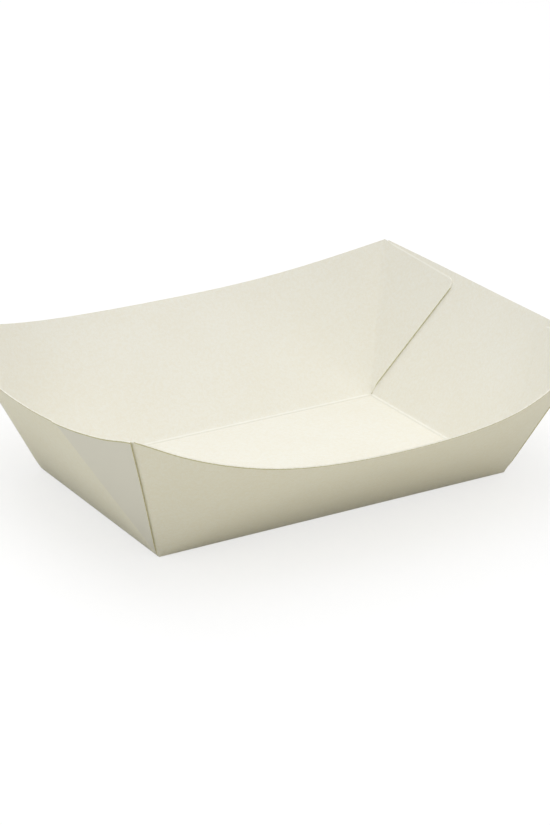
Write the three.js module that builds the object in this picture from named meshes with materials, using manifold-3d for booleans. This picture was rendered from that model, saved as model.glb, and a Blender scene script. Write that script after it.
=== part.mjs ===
// A paper food tray: one sheet of board, cut flat, creased, folded up and glued at its four corners.
// Millimetres, +Z up. The origin is on the table, under the middle of the base. +X runs along the tray.
//
// Every wall starts as a flat panel. Its middle, a triangle that stands on the base edge, stays flat.
// The rest rolls like a cone about the end of that edge, up to the corner, where the walls stand steeper.
// So a wall is a fan of straight rulings from the ends of its hinge line, and its top edge, which is
// straight on the flat sheet, becomes the dipping rim.

import * as THREE from 'three';
import { mergeVertices } from 'three/addons/utils/BufferGeometryUtils.js';
import Module from 'manifold-3d';

// Driving dimensions, in millimetres and degrees.

// The base, from fold to fold.
const baseLength = 134;
const baseWidth = 83;

// The board, the inside radius of its folds, and the bead that a crease raises on the inside of a fold:
// how high it stands, and how far it runs on past the bend on each side.
const boardThickness = 0.45;
const foldRadius = 0.45;
const beadRise = 0.2;
const beadMargin = 0.35;

// The walls: their height along the sheet, and how far the middle of each leans out from upright.
const wallSlant = 53.3;
const longWallLean = 46.7;
const endWallLean = 31.8;

// The rim corners: their height, and how far they stand out past the end and past the side of the base.
const cornerHeight = 50.4;
const cornerPastEnd = 19.3;
const cornerPastSide = 21.5;

// The glue flaps: each carries on from a long wall round the corner, and is glued inside the end wall.
const flapAngle = 39.2;
const flapTopDrop = 4;
const flapTipRadius = 4.5;

// The end wall's cut edge stops this angle short of the corner fold, and the glued faces are pressed
// this far into each other.
const cutEdgeAngle = 1.3;
const gluePress = 0.1;

// Fineness: facets in half a wall, in a fold and in a flap's rounded tip, and steps that roll out a wall.
const fanFacets = 16;
const foldFacets = 4;
const tipFacets = 5;
const rollSteps = 400;

const lerp = THREE.MathUtils.lerp;
const radians = THREE.MathUtils.degToRad;
const mergeDistance = 1e-5;

// How deep the flaps lie in the end walls, and how far the end walls' board is drawn on over the base,
// so that the two join.
const flapDepth = boardThickness - gluePress;
const baseLap = boardThickness;

// The outside radius of the folds, and the height above the table at which both walls begin: there the
// higher of the two beads has run out.
const bendRadius = boardThickness + foldRadius;
const footHeight = Math.max(beadTop(longWallLean), beadTop(endWallLean));
const wasm = await Module();
wasm.setup();

// The height of the outside of a wall where the bead of its fold runs out.
function beadTop(lean) {
  return bendRadius * (1 - Math.sin(radians(lean))) + beadMargin * Math.cos(radians(lean));
}

// The fold at the foot of a wall, from the base to the wall. Each row is a point of the board's outside,
// as (out, up), with its normal and the board's thickness there, bead included.
// edge is where the two outer faces would meet if the fold were sharp.
function foldRows(edge, lean) {
  const bend = Math.PI / 2 - radians(lean);
  const centre = edge - bendRadius * Math.tan(bend / 2);
  const halfBead = bendRadius * bend / 2 + beadMargin;
  const row = (turn, past) => {
    const along = Math.min(Math.abs(bendRadius * (turn - bend / 2) + past), halfBead);
    return {
      out: centre + bendRadius * Math.sin(turn) + past * Math.cos(turn),
      up: bendRadius * (1 - Math.cos(turn)) + past * Math.sin(turn),
      normalOut: Math.sin(turn),
      normalUp: -Math.cos(turn),
      depth: boardThickness + beadRise * Math.cos(Math.PI * along / (2 * halfBead)) ** 2,
    };
  };
  const turns = [...spread(0, bend, foldFacets), bend];
  const toFoot = (footHeight - bendRadius * (1 - Math.cos(bend))) / Math.sin(bend);
  return [row(0, -beadMargin), ...turns.map((turn) => row(turn, 0)), row(bend, toFoot)];
}

// A wall in its own frame: x along its hinge line from the middle, y outwards, z up.
// It rises from its fold's last row. half is half the hinge line there, and corner is the rim corner.
function makeWall(half, fold, lean, corner) {
  const foot = fold.at(-1);
  const apex = new THREE.Vector3(half, foot.out, foot.up);
  const side = corner.clone().sub(apex);
  const cornerAngle = Math.acos(-side.x / side.length());
  const cornerLean = Math.atan2(side.y, side.z);
  const flatTurn = Math.atan2(wallSlant, half);
  const rulings = [];
  for (let i = 0; i <= rollSteps; i += 1) {
    const share = i / rollSteps;
    const angle = lerp(flatTurn, cornerAngle, share);
    const tilt = lerp(radians(lean), cornerLean, share * share);
    const tiltRate = 2 * share * (cornerLean - radians(lean)) / (cornerAngle - flatTurn);
    const rising = new THREE.Vector3(0, Math.sin(tilt), Math.cos(tilt));
    const leaning = new THREE.Vector3(0, Math.cos(tilt), -Math.sin(tilt));
    const direction = new THREE.Vector3(-Math.cos(angle), 0, 0).addScaledVector(rising, Math.sin(angle));
    const swing = new THREE.Vector3(Math.sin(angle), 0, 0)
      .addScaledVector(rising, Math.cos(angle))
      .addScaledVector(leaning, tiltRate * Math.sin(angle));
    const normal = direction.clone().cross(swing).normalize();
    const before = rulings.at(-1);
    const turn = before ? before.turn + direction.angleTo(before.direction) : flatTurn;
    rulings.push({ turn, direction, normal });
  }
  const cornerTurn = rulings.at(-1).turn;
  const cornerUp = side.length() * Math.sin(cornerTurn);
  const cornerAlong = half - side.length() * Math.cos(cornerTurn);
  const rimSlope = (cornerUp - wallSlant) / cornerAlong;
  return { half, fold, apex, rulings, flatTurn, cornerTurn, cornerUp, cornerAlong, rimSlope };
}

// The ruling at an angle on the flat panel: its direction, and the wall's outward normal along it.
function rulingAt(wall, turn) {
  const last = wall.rulings.length - 1;
  const found = wall.rulings.findIndex((ruling) => ruling.turn >= turn);
  const upper = found < 0 ? last : Math.max(found, 1);
  const before = wall.rulings[upper - 1];
  const after = wall.rulings[upper];
  const share = (turn - before.turn) / (after.turn - before.turn);
  const direction = before.direction.clone().lerp(after.direction, share).normalize();
  const normal = before.normal.clone().lerp(after.normal, share).normalize();
  return { direction, normal };
}

// A point of a wall: turn and radius are polar on the flat panel, and depth is inwards from its outside.
function wallPoint(wall, turn, radius, depth) {
  const { direction, normal } = rulingAt(wall, turn);
  return wall.apex.clone().addScaledVector(direction, radius).addScaledVector(normal, -depth);
}

// Where the ruling at an angle meets a straight line on the flat panel: up = height + slope * along.
function lineRadius(wall, turn, height, slope) {
  return (height + slope * wall.half) / (Math.sin(turn) + slope * Math.cos(turn));
}

// Where an end wall is cut off, just short of the corner fold.
function cutTurnOf(wall) {
  return wall.cornerTurn - radians(cutEdgeAngle);
}

// Evenly spread values from one value up to, but without, another.
function spread(from, to, count) {
  return Array.from({ length: count }, (unused, i) => lerp(from, to, i / count));
}

// A flap's outline on the end wall's flat panel, as polar points from its free edge to the cut edge.
// The free edge is a ruling, the tip is round, and the top edge falls a little below the rim.
function flapOutline(wall) {
  const freeTurn = wall.cornerTurn - radians(flapAngle);
  const cutTurn = cutTurnOf(wall);
  const fall = Math.atan(wall.rimSlope) + radians(flapTopDrop);
  const slope = Math.tan(fall);
  const height = wall.cornerUp - slope * wall.cornerAlong;
  const freeEdge = new THREE.Vector2(-Math.cos(freeTurn), Math.sin(freeTurn));
  const acrossFlap = new THREE.Vector2(Math.sin(freeTurn), Math.cos(freeTurn));
  const topNormal = new THREE.Vector2(-Math.sin(fall), Math.cos(fall));
  const topDistance = (height + slope * wall.half) * Math.cos(fall);
  const overhang = flapTipRadius * (1 + acrossFlap.dot(topNormal));
  const centre = freeEdge.clone()
    .multiplyScalar((topDistance - overhang) / freeEdge.dot(topNormal))
    .addScaledVector(acrossFlap, flapTipRadius);
  const tipEnds = [acrossFlap.clone().negate().angle(), topNormal.angle()];
  const tip = [...spread(...tipEnds, tipFacets), tipEnds[1]].map((angle) => {
    const point = new THREE.Vector2(flapTipRadius, 0).rotateAround(new THREE.Vector2(), angle).add(centre);
    return { turn: Math.atan2(point.y, -point.x), radius: point.length() };
  });
  const turns = [...spread(tip.at(-1).turn, cutTurn, fanFacets / 2).slice(1), cutTurn];
  return [...tip, ...turns.map((turn) => ({ turn, radius: lineRadius(wall, turn, height, slope) }))];
}

// A wall's rows from the rim down to its fold's first row, flat on the base, in the wall's frame.
// Each place in a row holds an outer and an inner point. A column runs down each given ruling.
// ends holds where each fold row stops along the hinge, so that it keeps to the neighbour's fold.
function wallRows(wall, turns, ends) {
  const onWall = (turn, radius) => [0, boardThickness].map((depth) => wallPoint(wall, turn, radius, depth));
  const onFold = (row, end) => [0, row.depth].map((depth) => (
    new THREE.Vector3(end, row.out - depth * row.normalOut, row.up - depth * row.normalUp)));
  return [
    turns.map((turn) => onWall(turn, lineRadius(wall, turn, wallSlant, wall.rimSlope))),
    turns.map((turn) => onWall(turn, 0)),
    ...wall.fold.slice(0, -1).map((row, i) => turns.map(() => onFold(row, ends[i]))).toReversed(),
  ];
}

// A half wall's rows with their mirror image before them.
function bothHalves(rows) {
  const mirror = new THREE.Vector3(-1, 1, 1);
  const mirrored = (row) => row.map((pair) => pair.map((point) => point.clone().multiply(mirror)));
  return rows.map((row) => [...mirrored(row).toReversed(), ...row]);
}

// Moves rows of a wall's frame to the tray's: front and back walls, and end walls at -x or +x.
function toSide(rows, sign) {
  return rows.map((row) => row.map((pair) => pair.map(({ x, y, z }) => new THREE.Vector3(x, sign * y, z))));
}

function toEnd(rows, sign) {
  return rows.map((row) => row.map((pair) => pair.map(({ x, y, z }) => new THREE.Vector3(sign * y, x, z))));
}

// A point or direction of the +x end wall's frame in the tray's, or the other way round.
function swapped({ x, y, z }) {
  return new THREE.Vector3(y, x, z);
}

// A closed solid between the outer and inner points of a grid.
function slab(rows) {
  const lastRow = rows.length - 1;
  const lastColumn = rows[0].length - 1;
  const points = rows.flat(2);
  const at = (row, column, side) => 2 * (row * (lastColumn + 1) + column) + side;
  const indices = [];
  const addQuad = (a, b, c, d) => indices.push(a, b, c, a, c, d);
  for (let i = 1; i <= lastRow; i += 1) {
    for (let j = 1; j <= lastColumn; j += 1) {
      addQuad(at(i - 1, j - 1, 0), at(i - 1, j, 0), at(i, j, 0), at(i, j - 1, 0));
      addQuad(at(i - 1, j - 1, 1), at(i, j - 1, 1), at(i, j, 1), at(i - 1, j, 1));
    }
    addQuad(at(i - 1, 0, 0), at(i, 0, 0), at(i, 0, 1), at(i - 1, 0, 1));
    addQuad(at(i, lastColumn, 0), at(i - 1, lastColumn, 0), at(i - 1, lastColumn, 1), at(i, lastColumn, 1));
  }
  for (let j = 1; j <= lastColumn; j += 1) {
    addQuad(at(0, j, 0), at(0, j - 1, 0), at(0, j - 1, 1), at(0, j, 1));
    addQuad(at(lastRow, j - 1, 0), at(lastRow, j, 0), at(lastRow, j, 1), at(lastRow, j - 1, 1));
  }
  const geometry = new THREE.BufferGeometry().setFromPoints(points);
  geometry.setIndex(indices);
  return toSolid(mergeVertices(geometry, mergeDistance));
}

// A merged geometry as a solid for joining: collapsed faces are left out, and the rest point outwards.
function toSolid(geometry) {
  const position = geometry.getAttribute('position');
  const corner = (index) => new THREE.Vector3().fromBufferAttribute(position, index);
  const index = Array.from(geometry.getIndex().array);
  const faces = [];
  for (let i = 0; i < index.length; i += 3) {
    const face = index.slice(i, i + 3);
    if (new Set(face).size === face.length) {
      faces.push(face);
    }
  }
  const volume = faces.reduce((sum, [a, b, c]) => sum + corner(a).dot(corner(b).cross(corner(c))), 0);
  const triVerts = new Uint32Array((volume > 0 ? faces : faces.map((face) => face.toReversed())).flat());
  const vertProperties = new Float32Array(position.array);
  return new wasm.Manifold(new wasm.Mesh({ numProp: 3, vertProperties, triVerts }));
}

// The base with the front and back walls and the four flaps: one board, from the front rim to the back.
// A flap's rulings spread from the foot of the corner fold. The end wall turns away from that foot, so
// each ruling's own foot is moved out with it, to lie at the flap's depth.
function makeLongSheet(wall, ends, endWall, outline, mitre) {
  const turns = [...spread(wall.flatTurn, wall.cornerTurn, fanFacets), wall.cornerTurn];
  const flapPoints = outline.toReversed();
  const flapFaces = [flapDepth, flapDepth + boardThickness];
  const flapEdge = flapPoints.map(({ turn, radius }) => (
    flapFaces.map((depth) => swapped(wallPoint(endWall, turn, radius, depth)))));
  const [rim, foot, ...fold] = wallRows(wall, turns, ends);
  const [cornerTop, cornerFoot] = [rim, foot].map((row) => {
    const [outer] = row.at(-1);
    return [outer, outer.clone().add(mitre)];
  });
  const flapFoot = flapPoints.map(({ turn }) => {
    const outward = swapped(rulingAt(endWall, turn).normal);
    const depth = swapped(endWall.apex).sub(cornerFoot[0]).dot(outward);
    return cornerFoot.map((point) => point.clone().addScaledVector(outward, depth - flapDepth));
  });
  const half = [
    [...rim.slice(0, -1), cornerTop, ...flapEdge],
    [...foot.slice(0, -1), cornerFoot, ...flapFoot],
    ...fold.map((row) => [...row, ...outline.map(() => row.at(-1))]),
  ];
  const whole = bothHalves(half);
  return slab([...toSide(whole, -1), ...toSide(whole, 1).toReversed()]);
}

// An end wall, up to its cut edges, with its fold and a lap on the base.
function makeEndSheet(wall, ends, sign) {
  const cutTurn = cutTurnOf(wall);
  const turns = [...spread(wall.flatTurn, cutTurn, fanFacets), cutTurn];
  const rows = bothHalves(wallRows(wall, turns, ends));
  const towardsMiddle = new THREE.Vector3(0, -baseLap, 0);
  const lap = rows.at(-1).map((pair) => pair.map((point) => point.clone().add(towardsMiddle)));
  return slab(toEnd([...rows, lap], sign));
}

function makeTray() {
  const endFold = foldRows(baseLength / 2, endWallLean);
  const longFold = foldRows(baseWidth / 2, longWallLean);
  const endOuts = endFold.map(({ out }) => out);
  const longOuts = longFold.map(({ out }) => out);
  const cornerX = baseLength / 2 + cornerPastEnd;
  const cornerY = baseWidth / 2 + cornerPastSide;
  const rimCorner = new THREE.Vector3(cornerX, cornerY, cornerHeight);
  const endWall = makeWall(longOuts.at(-1), endFold, endWallLean, swapped(rimCorner));
  const outline = flapOutline(endWall);

  // The corner fold lies inside the end wall's board, on the long wall's own face.
  const endNormal = rulingAt(endWall, endWall.cornerTurn).normal;
  const faceWall = makeWall(endOuts.at(-1), longFold, longWallLean, rimCorner);
  const { direction, normal } = rulingAt(faceWall, faceWall.cornerTurn);
  const outPerInset = normal.x / normal.y;
  const inset = flapDepth / (endNormal.y - endNormal.x * outPerInset);
  const shift = new THREE.Vector3(-inset, inset * outPerInset, 0);
  const shiftedFold = longFold.map((row) => ({ ...row, out: row.out + shift.y }));
  const shiftedCorner = rimCorner.clone().add(shift);
  const longWall = makeWall(endOuts.at(-1) + shift.x, shiftedFold, longWallLean, shiftedCorner);
  const longEnds = endOuts.map((out) => out + shift.x);

  // From the corner fold's outer edge to its inner edge, one board's thickness inside both walls.
  const faces = new THREE.Matrix3(endNormal.y, endNormal.x, endNormal.z, ...normal, ...direction).invert();
  const mitre = new THREE.Vector3(-boardThickness, -boardThickness, 0).applyMatrix3(faces);

  const joined = [-1, 1]
    .map((sign) => makeEndSheet(endWall, longOuts, sign))
    .reduce((whole, sheet) => whole.add(sheet), makeLongSheet(longWall, longEnds, endWall, outline, mitre))
    .getMesh();
  const geometry = new THREE.BufferGeometry();
  geometry.setAttribute('position', new THREE.BufferAttribute(joined.vertProperties, joined.numProp));
  geometry.setIndex(new THREE.BufferAttribute(joined.triVerts, 1));
  geometry.computeVertexNormals();
  const paperboard = new THREE.MeshStandardMaterial({ color: 0xe8e3d1, roughness: 0.85, metalness: 0 });
  const tray = new THREE.Mesh(geometry, paperboard);
  tray.name = 'tray';
  return tray;
}

const group = new THREE.Group();
group.add(makeTray());
export default group;
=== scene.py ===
# %% [markdown]
# A paper food tray is die-cut from one sheet of board, creased, folded up and glued at its corners.
# This lesson builds it the same way. We load the measured frame first. It gives the tray's place and its
# box, so nothing has to be fitted afterwards.

import bmesh
import bpy
import numpy as np
from mathutils import Matrix, Vector


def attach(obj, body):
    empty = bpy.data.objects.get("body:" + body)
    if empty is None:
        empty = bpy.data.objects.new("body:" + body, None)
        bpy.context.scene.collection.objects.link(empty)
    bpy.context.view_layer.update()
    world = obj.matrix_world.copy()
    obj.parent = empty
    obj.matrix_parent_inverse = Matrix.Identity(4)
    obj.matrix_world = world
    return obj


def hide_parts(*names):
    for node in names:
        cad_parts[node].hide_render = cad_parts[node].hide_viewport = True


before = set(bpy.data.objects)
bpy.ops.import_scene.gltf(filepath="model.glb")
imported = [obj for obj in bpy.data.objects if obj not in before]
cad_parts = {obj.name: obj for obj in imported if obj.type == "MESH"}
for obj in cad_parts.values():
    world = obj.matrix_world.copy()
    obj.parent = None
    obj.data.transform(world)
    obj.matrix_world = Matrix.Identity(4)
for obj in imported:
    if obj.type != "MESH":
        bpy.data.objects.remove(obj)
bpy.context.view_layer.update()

MM = 0.001
scene = bpy.context.scene

# %% [markdown]
# The camera comes before the tray, so that every later step can be judged in the right view. It is a
# long lens, a metre off, looking down by 22 degrees at the front left corner. It is described by what
# it aims at, its distance, and its angles, which were worked out from the folds and rims in the view.

# %% Place the camera
IMAGE_HEIGHT = 825
FOCAL_PIXELS = 2750
SENSOR = 36.0
AZIMUTH = np.radians(-31.116)
ELEVATION = np.radians(22.032)
ROLL = np.radians(0.214)
DISTANCE = 937.8 * MM
AIM_SIDEWAYS = -0.82 * MM
AIM_UP = 19.75 * MM

back = Vector((np.sin(AZIMUTH) * np.cos(ELEVATION), -np.cos(AZIMUTH) * np.cos(ELEVATION), np.sin(ELEVATION)))
right = Vector((0, 0, 1)).cross(back).normalized()
up = back.cross(right)
turned_right = right * np.cos(ROLL) + up * np.sin(ROLL)
turned_up = up * np.cos(ROLL) - right * np.sin(ROLL)

lens = bpy.data.cameras.new("camera")
lens.sensor_fit = "AUTO"
lens.sensor_width = SENSOR
lens.lens = FOCAL_PIXELS * SENSOR / IMAGE_HEIGHT
lens.clip_start = 0.05
lens.clip_end = 50
camera = bpy.data.objects.new("camera", lens)
scene.collection.objects.link(camera)
camera.matrix_world = Matrix.Translation(
    back * DISTANCE - turned_right * AIM_SIDEWAYS + turned_up * AIM_UP
) @ Matrix((turned_right, turned_up, back)).transposed().to_4x4()
scene.camera = camera
print("lens", round(lens.lens, 2), "mm at", [round(v, 4) for v in camera.location])

# %% [markdown]
# The tray's sizes, in millimetres and degrees. The board is 0.45 mm thick. The long walls lean out
# further than the end walls, and all four stand steeper at the corners, where they pull each other in.

# %% The tray's sizes
HALF_LENGTH = 67.0
HALF_WIDTH = 41.5
BOARD = 0.45
SLANT = 53.3
LONG_LEAN = np.radians(46.7)
END_LEAN = np.radians(31.8)
RIM_CORNER = np.array([HALF_LENGTH + 19.3, HALF_WIDTH + 21.5, 50.4])

FOLD_RADIUS = 0.7
CORNER_HALF = 0.6
BEAD_RISE = 0.22
BEAD_HALF = 0.7
GROOVE_DEPTH = 0.18
GROOVE_AWAY = 1.05
GROOVE_HALF = 0.35
GLUE_GAP = 0.04
FLAP_DROP = np.radians(4.0)
TIP_RADIUS = 3.2
CUT_BACK_FOOT = 0.7
CUT_BACK_RIM = 1.0
FOOT_SHARE = 0.15
FOOT_RISE = 5.0
PROUD = 0.3
PROUD_STRIP = 3.0
PROUD_EARLY = 0.8
PROUD_RISE = 6.0
LIFT = 0.2
LIFT_REACH = 5.0
FLAP_LIFT = 0.04
FLAP_JOIN = 3.0
ARRIS = 0.5
PITCH = 2.0
FRONT_SWELL = 1.0
SIDE_SWELL = 0.8
CORNER_RAISED = 1.1
CORNER_DROPPED = 1.6

# %% [markdown]
# A bent sheet of board can't stretch, so a bowed wall is a fan of straight lines, called rulings, from
# the end of its fold. We roll the wall out once, in small steps, and note for every ruling its angle on
# the flat sheet, its direction in the folded tray and the way that the board faces there. A wall's own
# axes are used for that: along its fold, outwards and up. Its middle stays flat.

# %% Roll out the two kinds of wall
STEPS = 1200


def roll_out(half, lean, corner):
    """The fan of a wall: flat angles, directions and outward normals, from its flat middle to the corner."""
    side = corner - np.array([half, 0.0, 0.0])
    length = np.linalg.norm(side)
    flat_angle = np.arctan2(SLANT, half)
    corner_angle = np.arccos(-side[0] / length)
    corner_lean = np.arctan2(side[1], side[2])
    share = np.linspace(0, 1, STEPS)
    angle = flat_angle + share * (corner_angle - flat_angle)
    tilt = lean + (corner_lean - lean) * share ** 2
    direction = np.stack([-np.cos(angle), np.sin(angle) * np.sin(tilt), np.sin(angle) * np.cos(tilt)], 1)
    swing = np.gradient(direction, axis=0)
    normal = np.cross(direction, swing)
    normal /= np.linalg.norm(normal, axis=1)[:, None]
    swing = np.cross(normal, direction)
    step = np.linalg.norm(np.diff(direction, axis=0), axis=1)
    turn = flat_angle + np.concatenate([[0], np.cumsum(step)])
    return {"half": half, "lean": lean, "length": length, "turn": turn,
            "direction": direction, "swing": swing, "normal": normal}


def swapped(point):
    """Turns the axes of a long wall into those of an end wall, or back."""
    return point[..., [1, 0, 2]]


long_fan = roll_out(HALF_LENGTH, LONG_LEAN, RIM_CORNER - [0, HALF_WIDTH, 0])
end_fan = roll_out(HALF_WIDTH, END_LEAN, swapped(RIM_CORNER) - [0, HALF_LENGTH, 0])
for name, fan in (("long", long_fan), ("end", end_fan)):
    print(name, "wall's corner is at", round(np.degrees(fan["turn"][-1]), 2), "degrees on the flat sheet")

# %% [markdown]
# At a corner the long wall's board folds on into a flap, which is glued inside the end wall. The two
# boards share the room: the flap lies a little inside, for which the fold stands back from the corner,
# and the end wall is pushed out over it. How far back follows from the angle between the two walls.

# %% Find the corner fold
FLAP_DEPTH = BOARD + GLUE_GAP - PROUD
corner_bend = np.arccos(long_fan["swing"][-1] @ -swapped(end_fan["swing"][-1]))
FOLD_BACK = FLAP_DEPTH / np.sin(corner_bend)
FLAP_SHIFT = -FOLD_BACK * np.cos(corner_bend)
print("corner fold bends", round(np.degrees(corner_bend), 1), "degrees, set back", round(FOLD_BACK, 2), "mm")

# %% [markdown]
# Now the flat blank. A die-cutter stamps the outline from the board and presses the creases in, so we
# draw it the same way: a quarter of the base as a plane, with the walls and the flap extruded from its
# edges. One unit is a millimetre here. First the outline's own points, on the flat sheet.

# %% Lay out the flat blank
APEX = np.array([HALF_LENGTH, HALF_WIDTH])


def compass(angle):
    return np.array([-np.cos(angle), np.sin(angle)])


def crossing(start, way, other, other_way):
    """Where two lines on the sheet cross."""
    steps = np.linalg.solve(np.stack([way, -other_way], 1), other - start)
    return start + steps[0] * way


long_line = compass(long_fan["turn"][-1])
long_beyond = np.array([long_line[1], -long_line[0]])
end_line = compass(end_fan["turn"][-1])
end_beyond = np.array([end_line[1], -end_line[0]])


def on_flap(along_wall, up_wall):
    """A point given on the end wall's flat sheet, from the middle of its fold, as a point of the flap."""
    offset = np.array([along_wall - HALF_WIDTH, up_wall])
    along = offset @ end_line
    inwards = -offset @ end_beyond
    return APEX + along * long_line + (inwards - FLAP_SHIFT - FOLD_BACK) * long_beyond


def on_end(along_wall, up_wall):
    return np.array([HALF_LENGTH + up_wall, along_wall])


rim_middle = np.array([0, HALF_WIDTH + SLANT])
rim_way = APEX + long_fan["length"] * long_line - rim_middle
fold_start = APEX - FOLD_BACK * long_beyond
fold_foot = crossing(APEX - FOOT_SHARE * FOLD_BACK * long_beyond, long_line, APEX, np.array([1.0, 0]))
fold_top = crossing(fold_start, long_line, rim_middle, rim_way)

end_corner = np.array([HALF_WIDTH, 0]) + end_fan["length"] * end_line
end_rim_way = end_corner - [0, SLANT]
cut_foot = np.array([HALF_WIDTH - CUT_BACK_FOOT / end_line[1], 0])
cut_way = end_corner - CUT_BACK_RIM * end_beyond - cut_foot
cut_top = crossing(cut_foot, cut_way, np.array([0, SLANT]), end_rim_way)

FLAP_NOSE = np.array([41.0, 4.6])
FREE_EDGE_TOP = np.array([27.4, 47.8])
top_way = np.array([np.cos(FLAP_DROP), -np.sin(FLAP_DROP)]) * [-1, 1]
edge_way = (FREE_EDGE_TOP - FLAP_NOSE) / np.linalg.norm(FREE_EDGE_TOP - FLAP_NOSE)
edge_side = np.array([edge_way[1], -edge_way[0]])
flap_tip = crossing(FLAP_NOSE, FREE_EDGE_TOP - FLAP_NOSE, end_corner, top_way)
print("flap's tip on the end wall at", flap_tip.round(1), "cut edge ends at", cut_top.round(1))

# %% [markdown]
# A few helpers to work as by hand: pick what lies at a place, move it, extrude it, and score a straight
# line across the picked faces. The score lines give the flat faces enough points to bend smoothly.

# %% Helpers for drawing on the sheet


def pick(kind, test):
    """Selects only the vertices, edges or faces of the edited mesh whose middle passes the test."""
    bpy.ops.mesh.select_all(action="DESELECT")
    kinds = ("verts", "edges", "faces")
    bpy.context.tool_settings.mesh_select_mode = [name == kind for name in kinds]
    data = bpy.context.object.data
    mesh = bmesh.from_edit_mesh(data)
    for item in getattr(mesh, kind):
        points = [item.co] if kind == "verts" else [v.co for v in item.verts]
        item.select_set(bool(test(np.mean([p.xy for p in points], 0))))
    mesh.select_flush_mode()
    bmesh.update_edit_mesh(data)


def near(place):
    return lambda middle: np.hypot(*(middle - place)) < 1e-3


def move_vertex(place, target):
    pick("verts", near(place))
    bpy.ops.transform.translate(value=(*(np.array(target) - place), 0))


def extrude_edge(first, second, first_target, second_target):
    """Extrudes the edge between two points into a panel, whose far corners go to the two targets."""
    first, second = np.array(first, float), np.array(second, float)
    pick("edges", near((first + second) / 2))
    way = np.array(first_target, float) - first
    bpy.ops.mesh.extrude_edges_move(TRANSFORM_OT_translate={"value": (*way, 0)})
    move_vertex(second + way, second_target)


def score(place, across, test=None):
    """Scores a straight line through a place, square to the direction across, on the chosen faces."""
    if test is None:
        bpy.context.tool_settings.mesh_select_mode = (False, False, True)
        bpy.ops.mesh.select_all(action="SELECT")
    else:
        pick("faces", test)
    bpy.ops.mesh.bisect(plane_co=(*place, 0), plane_no=(*across, 0), threshold=1e-4)


def round_corner(place, tangent, segments):
    pick("verts", near(place))
    bpy.ops.mesh.bevel(offset=tangent, offset_type="OFFSET", affect="VERTICES", segments=segments)


# %% Draw the quarter blank
bpy.ops.object.select_all(action="DESELECT")
bpy.ops.mesh.primitive_plane_add(size=1, location=(HALF_LENGTH / 2, HALF_WIDTH / 2, 0))
tray = bpy.context.object
tray.name = "folded_board"
bpy.ops.transform.resize(value=(HALF_LENGTH, HALF_WIDTH, 1))
bpy.ops.object.transform_apply(location=True, rotation=True, scale=True)
bpy.ops.object.mode_set(mode="EDIT")

score(fold_foot, (1, 0))
score(on_end(*cut_foot), (0, 1))
extrude_edge((0, HALF_WIDTH), fold_foot, rim_middle, fold_top)
extrude_edge(fold_top, fold_foot, on_flap(*flap_tip), on_flap(*FLAP_NOSE))
extrude_edge((HALF_LENGTH, 0), on_end(*cut_foot), on_end(0, SLANT), on_end(*cut_top))
to_nose = FLAP_NOSE - flap_tip
tip_angle = np.arccos(to_nose @ -top_way / np.linalg.norm(to_nose))
round_corner(on_flap(*flap_tip), TIP_RADIUS / np.tan(tip_angle / 2), 10)
round_corner(on_flap(*FLAP_NOSE), 0.8, 4)
print("outline drawn with", len(bmesh.from_edit_mesh(tray.data).faces), "panels")


# %% [markdown]
# Lines are scored close together along the creases, which bend sharply, and a plain grid covers the
# rest. Then the quarter is mirrored both ways, and the sheet gets its thickness: the outside of the
# tray stays at height 0, and the inside rises by one board.

# %% Score, mirror and thicken the blank


def beside_fold(middle):
    """Whether a place is on the long wall or the flap."""
    return middle[1] > HALF_WIDTH and (middle - APEX) @ end_side < 0


slit_way = (on_flap(*FREE_EDGE_TOP) - APEX) / np.linalg.norm(on_flap(*FREE_EDGE_TOP) - APEX)
cut_end = on_end(*cut_top) - APEX
slit_way = slit_way + cut_end / np.linalg.norm(cut_end)
end_side = np.array([slit_way[1], -slit_way[0]])

CREASE_START = -GROOVE_AWAY - GROOVE_HALF
for offset in np.arange(CREASE_START, BEAD_HALF + 0.01, 0.115):
    score((0, HALF_WIDTH + offset), (0, 1), lambda m: m[0] < fold_foot[0] and m[1] < HALF_WIDTH + SLANT)
    score((HALF_LENGTH + offset, 0), (1, 0), lambda m: m[1] < HALF_WIDTH and (m[1] < m[0]))
for offset in np.arange(-CORNER_HALF, CORNER_HALF + FOLD_BACK + 0.01, 0.15):
    score(fold_start + offset * long_beyond, long_beyond, beside_fold)
reach = int(max(on_end(*cut_top)[0], on_flap(*flap_tip)[0]) / PITCH) + 1
for step in range(1, reach):
    if not CREASE_START < step * PITCH - HALF_LENGTH < BEAD_HALF:
        score((step * PITCH, 0), (1, 0))
    if not CREASE_START < step * PITCH - HALF_WIDTH < BEAD_HALF:
        score((0, step * PITCH), (0, 1))
RIMS = [(rim_middle, fold_top), (on_end(0, SLANT), on_end(*cut_top))]


def above_rim(place, rim):
    """How far a place lies beyond the straight line of a rim, outwards from the middle of the sheet."""
    way = (rim[1] - rim[0]) / np.linalg.norm(rim[1] - rim[0])
    outwards = np.array([way[1], -way[0]])
    return (place - rim[0]) @ (outwards * np.sign(outwards @ rim[0]))


for rim in RIMS:
    way = (rim[1] - rim[0]) / np.linalg.norm(rim[1] - rim[0])
    outwards = np.array([way[1], -way[0]])
    outwards *= np.sign(outwards @ rim[0])
    on_end_side = rim is RIMS[1]
    score(rim[0] - ARRIS * outwards, outwards,
          lambda m: above_rim(m, rim) > -2 * PITCH and ((m - APEX) @ end_side > 0) == on_end_side)
bpy.ops.object.mode_set(mode="OBJECT")

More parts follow.
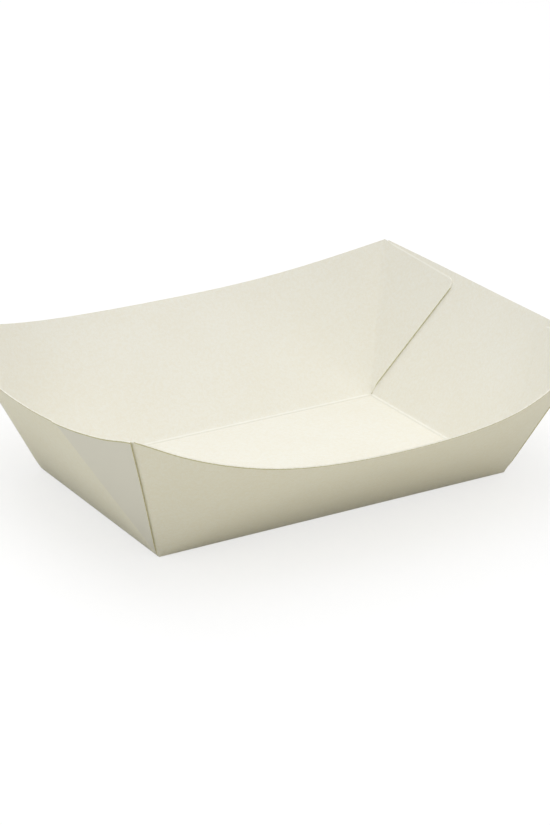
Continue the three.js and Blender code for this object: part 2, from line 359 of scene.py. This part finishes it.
mirror = tray.modifiers.new("other quarters", "MIRROR")
mirror.use_axis = (True, True, False)
mirror.merge_threshold = 1e-3
bpy.ops.object.modifier_apply(modifier=mirror.name)
bpy.ops.object.mode_set(mode="EDIT")
bpy.ops.mesh.select_all(action="SELECT")
bpy.ops.mesh.remove_doubles(threshold=1e-3)
bpy.ops.mesh.normals_make_consistent(inside=False)
bpy.ops.object.mode_set(mode="OBJECT")
tray.data.materials.append(bpy.data.materials.new("board"))
tray.data.materials.append(bpy.data.materials.new("trimmed rim"))
tray.data.materials.append(bpy.data.materials.new("slit edge with painted shade"))
faces_up = np.mean([face.normal.z for face in tray.data.polygons])
thickness = tray.modifiers.new("board", "SOLIDIFY")
thickness.thickness = BOARD
thickness.offset = np.sign(faces_up)
thickness.use_rim = True
thickness.material_offset_rim = 1
bpy.ops.object.modifier_apply(modifier=thickness.name)

# %% [markdown]
# The cut edges don't all look alike. The rims are nearly as pale as the face of the board, and the edges
# in the slits at the corners are darker, partly their own colour and partly painted shade. A dark line
# outside, just under the rim, is painted shade: a strip half a millimetre wide in the colour of the slits.

# %% Tell the cut edges apart
SLITS = [
    (on_flap(*flap_tip), on_flap(*FLAP_NOSE)), (on_flap(*FLAP_NOSE), fold_foot),
    (on_end(*cut_foot), on_end(*cut_top)), (fold_foot, APEX), (APEX, on_end(*cut_foot)),
]


def on_segment(middle, start, end):
    way = (end - start) / np.linalg.norm(end - start)
    along, aside = (middle - start) @ way, (middle - start) @ [way[1], -way[0]]
    return abs(aside) < 0.05 and -0.5 < along < np.linalg.norm(end - start) + 0.5


for face in tray.data.polygons:
    middle = np.abs(np.array(face.center)[:2])
    if face.material_index == 1:
        if any(on_segment(middle, *slit) for slit in SLITS):
            face.material_index = 2
    # Outside, a strip just under the rim gets the slits' darker colour as painted shade.
    elif face.center.z < BOARD / 2:
        on_end_side = (middle - APEX) @ end_side > 0
        if above_rim(middle, RIMS[int(on_end_side)]) > -ARRIS:
            face.material_index = 2
heights = [v.co.z for v in tray.data.vertices]
print("blank", len(tray.data.polygons), "faces, from", round(min(heights), 3), "to", round(max(heights), 3), "mm")

# %% [markdown]
# No operator rolls a sheet about a fan of rulings, so the folding is done in code. Every point of the
# flat blank has its place in the folded tray: its ruling says the direction, its distance from the end
# of the fold how far along, and its height in the board how deep. Folds are arcs instead of sharp
# lines, and the pressed creases raise a bead on the inside. At the end one corner is raised, another is
# lowered and the front wall swells in two places, to follow the rims of a tray that isn't even. Each on
# the outside of an end wall also notes how far it lies past the edge of the flap behind it. On the
# inside, each notes how far a crease raises it, and on a flap how far it lies below the upper edge.

# %% Fold the blank


def bend(distance, half, angle):
    """An arc that joins two flat sides, as the way on, the way in and the angle turned so far."""
    radius = half / np.tan(angle / 2)
    turned = np.clip((distance + half) / (2 * half), 0, 1) * angle
    past = np.maximum(distance - half, 0)
    before = np.minimum(distance + half, 0)
    onwards = before - half + radius * np.sin(turned) + past * np.cos(angle)
    inwards = radius * (1 - np.cos(turned)) + past * np.sin(angle)
    return onwards, inwards, turned


def ease(value):
    """Rises smoothly from 0 to 1 as the value does."""
    value = np.clip(value, 0, 1)
    return value * value * (3 - 2 * value)


def in_fan(fan, offset, depth):
    """Points of a wall in its own axes, with the ruling there, the way across it and the outward way."""
    turn = np.arctan2(offset[:, 1], -offset[:, 0])
    ruling = np.clip(turn, fan["turn"][0], fan["turn"][-1])
    direction, swing, normal = (
        np.stack([np.interp(ruling, fan["turn"], fan[table][:, axis]) for axis in range(3)], 1)
        for table in ("direction", "swing", "normal")
    )
    past = (turn - ruling)[:, None]
    along = direction * np.cos(past) + swing * np.sin(past)
    across = swing * np.cos(past) - direction * np.sin(past)
    point = [fan["half"], 0, 0] + np.hypot(*offset.T)[:, None] * along - depth[:, None] * normal
    return point, along, across, normal


def crease(away):
    """How far a pressed crease raises the inside: a bead, and a shallow groove beside it on the base."""
    bead = BEAD_RISE * np.cos(np.pi / 2 * np.clip(away / BEAD_HALF, -1, 1)) ** 2
    groove = GROOVE_DEPTH * np.cos(np.pi / 2 * np.clip((away + GROOVE_AWAY) / GROOVE_HALF, -1, 1)) ** 2
    return bead - groove


def creases(offset, is_end, is_long):
    """How far both creases raise the inside at each place. They fade out towards the corner."""
    raised = np.where(~is_end, crease(offset[:, 1]), 0) + np.where(~is_long, crease(offset[:, 0]), 0)
    return raised * ease(np.hypot(*offset.T) / 3)


def panels(offset):
    """Whether each place is on the end wall, and whether it is on the long wall or flap."""
    is_end = (offset[:, 0] > 0) & (offset @ end_side > 0)
    return is_end, (offset[:, 1] > 0) & ~is_end


def past_flap_edge(offset):
    """How far a place on an end wall lies past the flap's free edge, towards the corner."""
    return (offset + [HALF_WIDTH, 0] - FLAP_NOSE) @ edge_side


def end_wall(offset, depth, lift):
    """Points of an end wall. The flap glued inside pushes its board out, and its cut edge stands off."""
    near_cut = ease(1 + offset @ end_beyond / LIFT_REACH) * ease(offset[:, 1] / 2.5)
    near_cut *= 0.4 + 0.6 * np.clip(offset[:, 1] / SLANT, 0, 1)
    offset = offset + np.outer(near_cut * np.maximum(lift - LIFT, 0), [1, 0])
    past_edge = past_flap_edge(offset) + PROUD_EARLY
    proud = PROUD * ease(1 + past_edge / PROUD_STRIP) * ease(offset[:, 1] / PROUD_RISE)
    proud += lift * near_cut
    return swapped(in_fan(end_fan, offset, depth - proud)[0]) + [HALF_LENGTH, 0, 0]


def corner_and_flap(offset, depth):
    """Points of the corner fold and the flap beyond it, and how far across the fold they lie."""
    along = offset @ long_line
    grown = FOOT_SHARE + (1 - FOOT_SHARE) * ease(along / FOOT_RISE)
    across = offset @ long_beyond + FOLD_BACK * grown
    half = CORNER_HALF * (FOOT_SHARE + (1 - FOOT_SHARE) * ease(along / FOOT_RISE))
    start = along[:, None] * long_line - (half + FOLD_BACK * grown)[:, None] * long_beyond
    origin, ruling, swing, normal = in_fan(long_fan, start, 0 * depth)
    turn = np.arctan2(start[:, 1], -start[:, 0])
    onward_way = (ruling * (np.stack([-np.cos(turn), np.sin(turn)], 1) @ long_beyond)[:, None]
                  + swing * (np.stack([np.sin(turn), np.cos(turn)], 1) @ long_beyond)[:, None])
    onwards, inwards, turned = (value[:, None] for value in bend(across, half, corner_bend))
    bent = origin + (onwards + half[:, None]) * onward_way - inwards * normal
    bent -= depth[:, None] * (np.cos(turned) * normal + np.sin(turned) * onward_way)
    bent += [0, HALF_WIDTH, 0]
    on_end_wall = along[:, None] * end_line - (across + FLAP_SHIFT * grown)[:, None] * end_beyond
    lifted = FLAP_LIFT * ease(1 - past_flap_edge(on_end_wall) / FLAP_JOIN)
    glued = swapped(in_fan(end_fan, on_end_wall, depth + FLAP_DEPTH * grown + lifted)[0])
    glued += [HALF_LENGTH, 0, 0]
    share = ease((across - half) / FLAP_JOIN)[:, None]
    return bent + share * (glued - bent), across + half, start[:, 1]


def fold_rounding(distance, lean):
    """How far a rounded fold lies off the sharp one, and the angle turned so far."""
    angle = np.pi / 2 - lean
    half = FOLD_RADIUS * np.tan(angle / 2)
    onwards, inwards, turned = bend(distance, half, angle)
    sharp = np.maximum(distance, 0)
    return (onwards - np.minimum(distance, 0) - sharp * np.cos(angle), inwards - sharp * np.sin(angle), turned)


def fold(flat, lift):
    """The folded place of points of the quarter blank, in millimetres."""
    offset = flat[:, :2] - APEX
    depth = flat[:, 2].copy()
    is_end, is_long = panels(offset)
    depth += np.where(depth > BOARD / 2, creases(offset, is_end, is_long), 0)

    long_wall = in_fan(long_fan, offset, depth)[0] + [0, HALF_WIDTH, 0]
    turned_on, past_fold, held_at = corner_and_flap(offset, depth)
    point = np.stack([flat[:, 0], flat[:, 1], depth], 1)
    point = np.where(is_end[:, None], end_wall(offset[:, ::-1], depth, lift), point)
    point = np.where(is_long[:, None], long_wall, point)
    is_past = is_long & (past_fold > 0)
    point = np.where(is_past[:, None], turned_on, point)

    from_long_fold = np.where(is_past, held_at, offset[:, 1])
    for away, lean, axis, where in (
        (from_long_fold, LONG_LEAN, 1, ~is_end), (offset[:, 0], END_LEAN, 0, ~is_long)
    ):
        onwards, inwards, turned = fold_rounding(away, lean)
        flat_side = np.where(away > 0, np.pi / 2 - lean, 0)
        point[:, axis] += np.where(where, onwards - depth * (np.sin(turned) - np.sin(flat_side)), 0)
        point[:, 2] += np.where(where, inwards + depth * (np.cos(turned) - np.cos(flat_side)), 0)
    return point


co = np.zeros(len(tray.data.vertices) * 3)
tray.data.vertices.foreach_get("co", co)
flat = co.reshape(-1, 3)
signs = np.where(flat[:, :2] < 0, -1, 1)
quarter = np.column_stack([np.abs(flat[:, :2]), flat[:, 2]])
springy = (signs[:, 0] > 0) & (signs[:, 1] < 0)
folded = fold(quarter, np.where(springy, 2.6 * LIFT, LIFT))
folded[:, :2] *= signs


def swell(place, middle, reach):
    """1 at the middle of a swelling, and down to 0 at its reach."""
    return ease(1 - np.abs(place - middle) / reach)


x, y, z = folded.T.copy()
height = np.clip(z / RIM_CORNER[2], 0, 1) ** 2
front = height * ease((-y - 25) / 15)
folded[:, 1] -= front * (FRONT_SWELL * swell(x, -2, 38) + SIDE_SWELL * swell(x, -68, 17))
near_corner = ease(1 - np.hypot(x + RIM_CORNER[0], y + RIM_CORNER[1]) / 16)
folded[:, 2] += CORNER_RAISED * height * near_corner
folded[:, 0] -= 0.5 * CORNER_RAISED * height * near_corner
folded[:, 2] -= CORNER_DROPPED * height * ease((-x - 20) / 60) * ease((y + 30) / 60)
tray.data.vertices.foreach_set("co", (folded * MM).ravel())

offset = quarter[:, :2] - APEX
is_inside = quarter[:, 2] > BOARD / 2
is_end, is_long = panels(offset)
# Outside an end wall, past the edge of the flap glued behind it, the board gets painted shade.
past_edge = np.where(is_end & ~is_inside, past_flap_edge(offset[:, ::-1]), -20)
tray.data.attributes.new("past flap edge", "FLOAT", "POINT").data.foreach_set("value", past_edge)
# Just below a flap's upper edge, on the inside, the board gets a painted highlight.
top_way = (on_flap(*flap_tip) - fold_top) / np.linalg.norm(on_flap(*flap_tip) - fold_top)
from_fold_top = quarter[:, :2] - fold_top
below_top = np.abs(from_fold_top @ [top_way[1], -top_way[0]])
below_top += 0.3 * np.maximum(4 - from_fold_top @ top_way, 0)
below_top = np.where(is_inside & is_long, below_top, 20)
tray.data.attributes.new("below flap top", "FLOAT", "POINT").data.foreach_set("value", below_top)
# The rise of a crease also places a painted highlight on its bead and painted shade in its groove.
pressed = np.where(is_inside, creases(offset, is_end, is_long), 0)
tray.data.attributes.new("pressed", "FLOAT", "POINT").data.foreach_set("value", pressed)
tray.data.update()
print("folded tray", folded.min(0).round(1), "to", folded.max(0).round(1), "mm")

# %% Shade it smooth, and hand it to the frame
bpy.ops.object.shade_smooth_by_angle(angle=np.radians(40))
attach(tray, "root")
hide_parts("tray")

# %% [markdown]
# A finish is a small net of nodes. Written as plain maths it is easier to read, so a socket is wrapped
# in a class whose plus, minus and times add the Math nodes, and one method adds any other node.

# %% A helper for writing finishes


class Socket:
    """An output socket of a finish's nodes, with arithmetic."""

    def __init__(self, tree, socket):
        self.tree = tree
        self.socket = socket

    def node(self, kind, settings=(), **inputs):
        """Adds a node, sets its settings, then its sockets by name, and gives its first live output."""
        node = self.tree.nodes.new(kind)
        for name, value in dict(settings).items():
            setattr(node, name, value)
        for name, value in inputs.items():
            place = int(name[1:]) if name[1:].isdigit() else name.replace("_", " ")
            if isinstance(value, Socket):
                self.tree.links.new(value.socket, node.inputs[place])
            else:
                node.inputs[place].default_value = value
        return Socket(self.tree, next(output for output in node.outputs if output.enabled))

    def maths(self, operation, first, second):
        return self.node("ShaderNodeMath", {"operation": operation}, _0=first, _1=second)

    def __add__(self, other):
        return self.maths("ADD", self, other)

    def __radd__(self, other):
        return self.maths("ADD", other, self)

    def __sub__(self, other):
        return self.maths("SUBTRACT", self, other)

    def __rsub__(self, other):
        return self.maths("SUBTRACT", other, self)

    def __mul__(self, other):
        return self.maths("MULTIPLY", self, other)

    def __rmul__(self, other):
        return self.maths("MULTIPLY", other, self)

    def at_most(self, other):
        return self.maths("MINIMUM", self, other)

    def output(self, name):
        """Another output of the node that gave this socket."""
        return Socket(self.tree, self.socket.node.outputs[name])


def start_finish(material):
    """Gives a material's maker and its Principled shader."""
    material.use_nodes = True
    tree = material.node_tree
    shader = tree.nodes["Principled BSDF"]
    return Socket(tree, None), shader


def seen(red, green, blue):
    """A colour as an eye sees it, 0 to 255, as the light it reflects."""
    share = np.array([red, green, blue]) / 255
    light = np.where(share <= 0.04045, share / 12.92, ((share + 0.055) / 1.055) ** 2.4)
    return (*light, 1.0)


# %% [markdown]
# The board is uncoated and off-white. Close up it isn't even: wood fibres of a millimetre or so lie all
# ways in it, and the pulp clouds it softly over a few millimetres. Both are far fainter than they sound,
# so the colour moves by a few parts in a hundred, and the bump is a few hundredths of a millimetre deep.
# Four places have light and shade painted into the colour, to match how the tray looks: painted shade
# outside an end wall where a flap is glued behind it, a painted highlight on the bead of a crease, painted
# shade in its groove, and a painted highlight along a flap's upper edge. What makes them on the real tray
# isn't known, and part of it may be shading.

# %% The board's finish
BOARD_COLOUR = seen(238, 236, 226)
BOARD_WARMER = seen(235, 231, 217)
RIM_COLOUR = seen(245, 242, 232)
SLIT_CORE_AND_SHADE_COLOUR = seen(212, 207, 172)
GLUED_SHADE_COLOUR = seen(229, 227, 221)
BEAD_HIGHLIGHT_COLOUR = seen(250, 249, 243)
FLAP_TOP_HIGHLIGHT_COLOUR = seen(245, 243, 234)
GROOVE_SHADE_COLOUR = seen(220, 218, 207)

board, trimmed_rim, slit_edge_and_shade = tray.data.materials


def painted_light_and_shade(make, colour):
    """Paints shade over the glued flaps and in crease grooves, and highlights on beads and flaps' top edges."""
    # Each row paints shade or a highlight into the board's colour, where its attribute says.
    for name, start, full, tint in (
        ("past flap edge", -0.4, 0.4, GLUED_SHADE_COLOUR), ("below flap top", 0.6, 0.35, FLAP_TOP_HIGHLIGHT_COLOUR),
        ("pressed", 0.0, BEAD_RISE, BEAD_HIGHLIGHT_COLOUR), ("pressed", 0.0, -GROOVE_DEPTH, GROOVE_SHADE_COLOUR),
    ):
        noted = make.node("ShaderNodeAttribute", {"attribute_name": name}).output("Fac")
        amount = make.node("ShaderNodeMapRange", Value=noted, From_Min=start, From_Max=full)
        colour = make.node("ShaderNodeMix", {"data_type": "RGBA"}, Factor=amount, _6=colour, _7=tint)
    return colour


def paper_finish(material, colour, warmer, cloud_share, fibre_depth, painted_marks=None):
    make, shader = start_finish(material)
    place = make.node("ShaderNodeTexCoord").output("Object")
    cloud = make.node("ShaderNodeTexNoise", Vector=place, Scale=900.0, Detail=3.0, Roughness=0.6)
    fibre = make.node("ShaderNodeTexNoise", Vector=place, Scale=2600.0, Detail=4.0, Roughness=0.65)
    drift = make.node("ShaderNodeTexNoise", Vector=place, Scale=45.0, Detail=2.0, Roughness=0.5)
    share = (cloud - 0.5) * cloud_share + (fibre - 0.5) * cloud_share + (drift - 0.5) * 0.8 + 0.5
    mixed = make.node("ShaderNodeMix", {"data_type": "RGBA"}, Factor=share, _6=colour, _7=warmer)
    if painted_marks:
        mixed = painted_marks(make, mixed)
    make.tree.links.new(mixed.socket, shader.inputs["Base Color"])
    height = cloud * 0.6 + fibre * 0.4
    bump = make.node("ShaderNodeBump", Strength=0.35, Distance=fibre_depth * MM, Height=height)
    make.tree.links.new(bump.socket, shader.inputs["Normal"])
    make.tree.links.new((0.78 + (cloud - 0.5) * 0.2).socket, shader.inputs["Roughness"])
    shader.inputs["Specular IOR Level"].default_value = 0.3


paper_finish(board, BOARD_COLOUR, BOARD_WARMER, 2.6, 0.06, painted_light_and_shade)
paper_finish(trimmed_rim, RIM_COLOUR, BOARD_WARMER, 3.0, 0.08)
# The slits' darker colour is partly their own and partly painted shade.
paper_finish(slit_edge_and_shade, SLIT_CORE_AND_SHADE_COLOUR, seen(192, 186, 146), 3.0, 0.1)
print("finishes on the tray:", [m.name for m in tray.data.materials])

# %% [markdown]
# The tray stands on a plain pale floor. To the camera the floor is nearly white, and keeps the tray's
# soft shadow. The light that it throws back on the tray is a little warmer and dimmer, as from a table.

# %% The floor and the light
FLOOR_SIZE = 8.0
FLOOR_SEEN = 0.34
FLOOR_GLOW = 0.68
FLOOR_BOUNCE = seen(231, 228, 212)

bpy.ops.object.select_all(action="DESELECT")
bpy.ops.mesh.primitive_plane_add(size=FLOOR_SIZE, location=(0, 0, 0))
floor = bpy.context.object
floor.name = "floor"
table = bpy.data.materials.new("table")
floor.data.materials.append(table)
make, shader = start_finish(table)


def looked_at(make):
    """1 for rays of sight, also by way of a mirror or glass, and 0 for rays that carry light."""
    rays = make.node("ShaderNodeLightPath")
    sight = rays.output("Is Camera Ray") + rays.output("Is Glossy Ray") + rays.output("Is Transmission Ray")
    return sight.at_most(1.0)


lit = make.node("ShaderNodeBsdfDiffuse", Color=(FLOOR_SEEN, FLOOR_SEEN, FLOOR_SEEN, 1))
glow = make.node("ShaderNodeEmission", Color=(1, 1, 1, 1), Strength=FLOOR_GLOW)
pale = make.node("ShaderNodeAddShader", _0=lit, _1=glow)
bounce = make.node("ShaderNodeBsdfDiffuse", Color=FLOOR_BOUNCE)
both = make.node("ShaderNodeMixShader", _0=looked_at(make), _1=bounce, _2=pale)
make.tree.links.new(both.socket, make.tree.nodes["Material Output"].inputs["Surface"])

WALLS_OF_ROOM = 0.38
CEILING = 0.57
world = bpy.data.worlds.new("soft room")
scene.world = world
world.use_nodes = True
make = Socket(world.node_tree, None)
direction = make.node("ShaderNodeTexCoord").output("Generated")
height = make.node("ShaderNodeSeparateXYZ", Vector=direction).output("Z")
room = make.node("ShaderNodeMapRange", {"interpolation_type": "SMOOTHSTEP"},
                 Value=height, From_Max=0.7, To_Min=WALLS_OF_ROOM, To_Max=CEILING)
around = make.node("ShaderNodeBackground", Color=(1, 1, 1, 1), Strength=room)
white = make.node("ShaderNodeBackground", Color=(1, 1, 1, 1), Strength=1.0)
both = make.node("ShaderNodeMixShader", _0=looked_at(make), _1=around, _2=white)
make.tree.links.new(both.socket, make.tree.nodes["World Output"].inputs["Surface"])


def softbox(name, place, size, power, colour):
    lamp = bpy.data.lights.new(name, "AREA")
    lamp.size = size
    lamp.energy = power
    lamp.color = colour
    lamp_object = bpy.data.objects.new(name, lamp)
    scene.collection.objects.link(lamp_object)
    lamp_object.location = place
    lamp_object.rotation_euler = Vector(place).to_track_quat("Z", "Y").to_euler()


softbox("softbox above", (0.0, 0.0, 1.2), 0.9, 3.5, (0.96, 0.98, 1.0))
softbox("softbox in front", (-0.1, -0.8, 0.9), 0.9, 2.9, (1.0, 0.98, 0.94))
softbox("softbox behind", (0.1, 0.8, 0.9), 0.9, 3.4, (1.0, 1.0, 1.0))
softbox("cool window on the left", (-1.2, -0.2, 0.5), 0.9, 0.8, (0.7, 0.85, 1.0))

scene.view_settings.view_transform = "Standard"
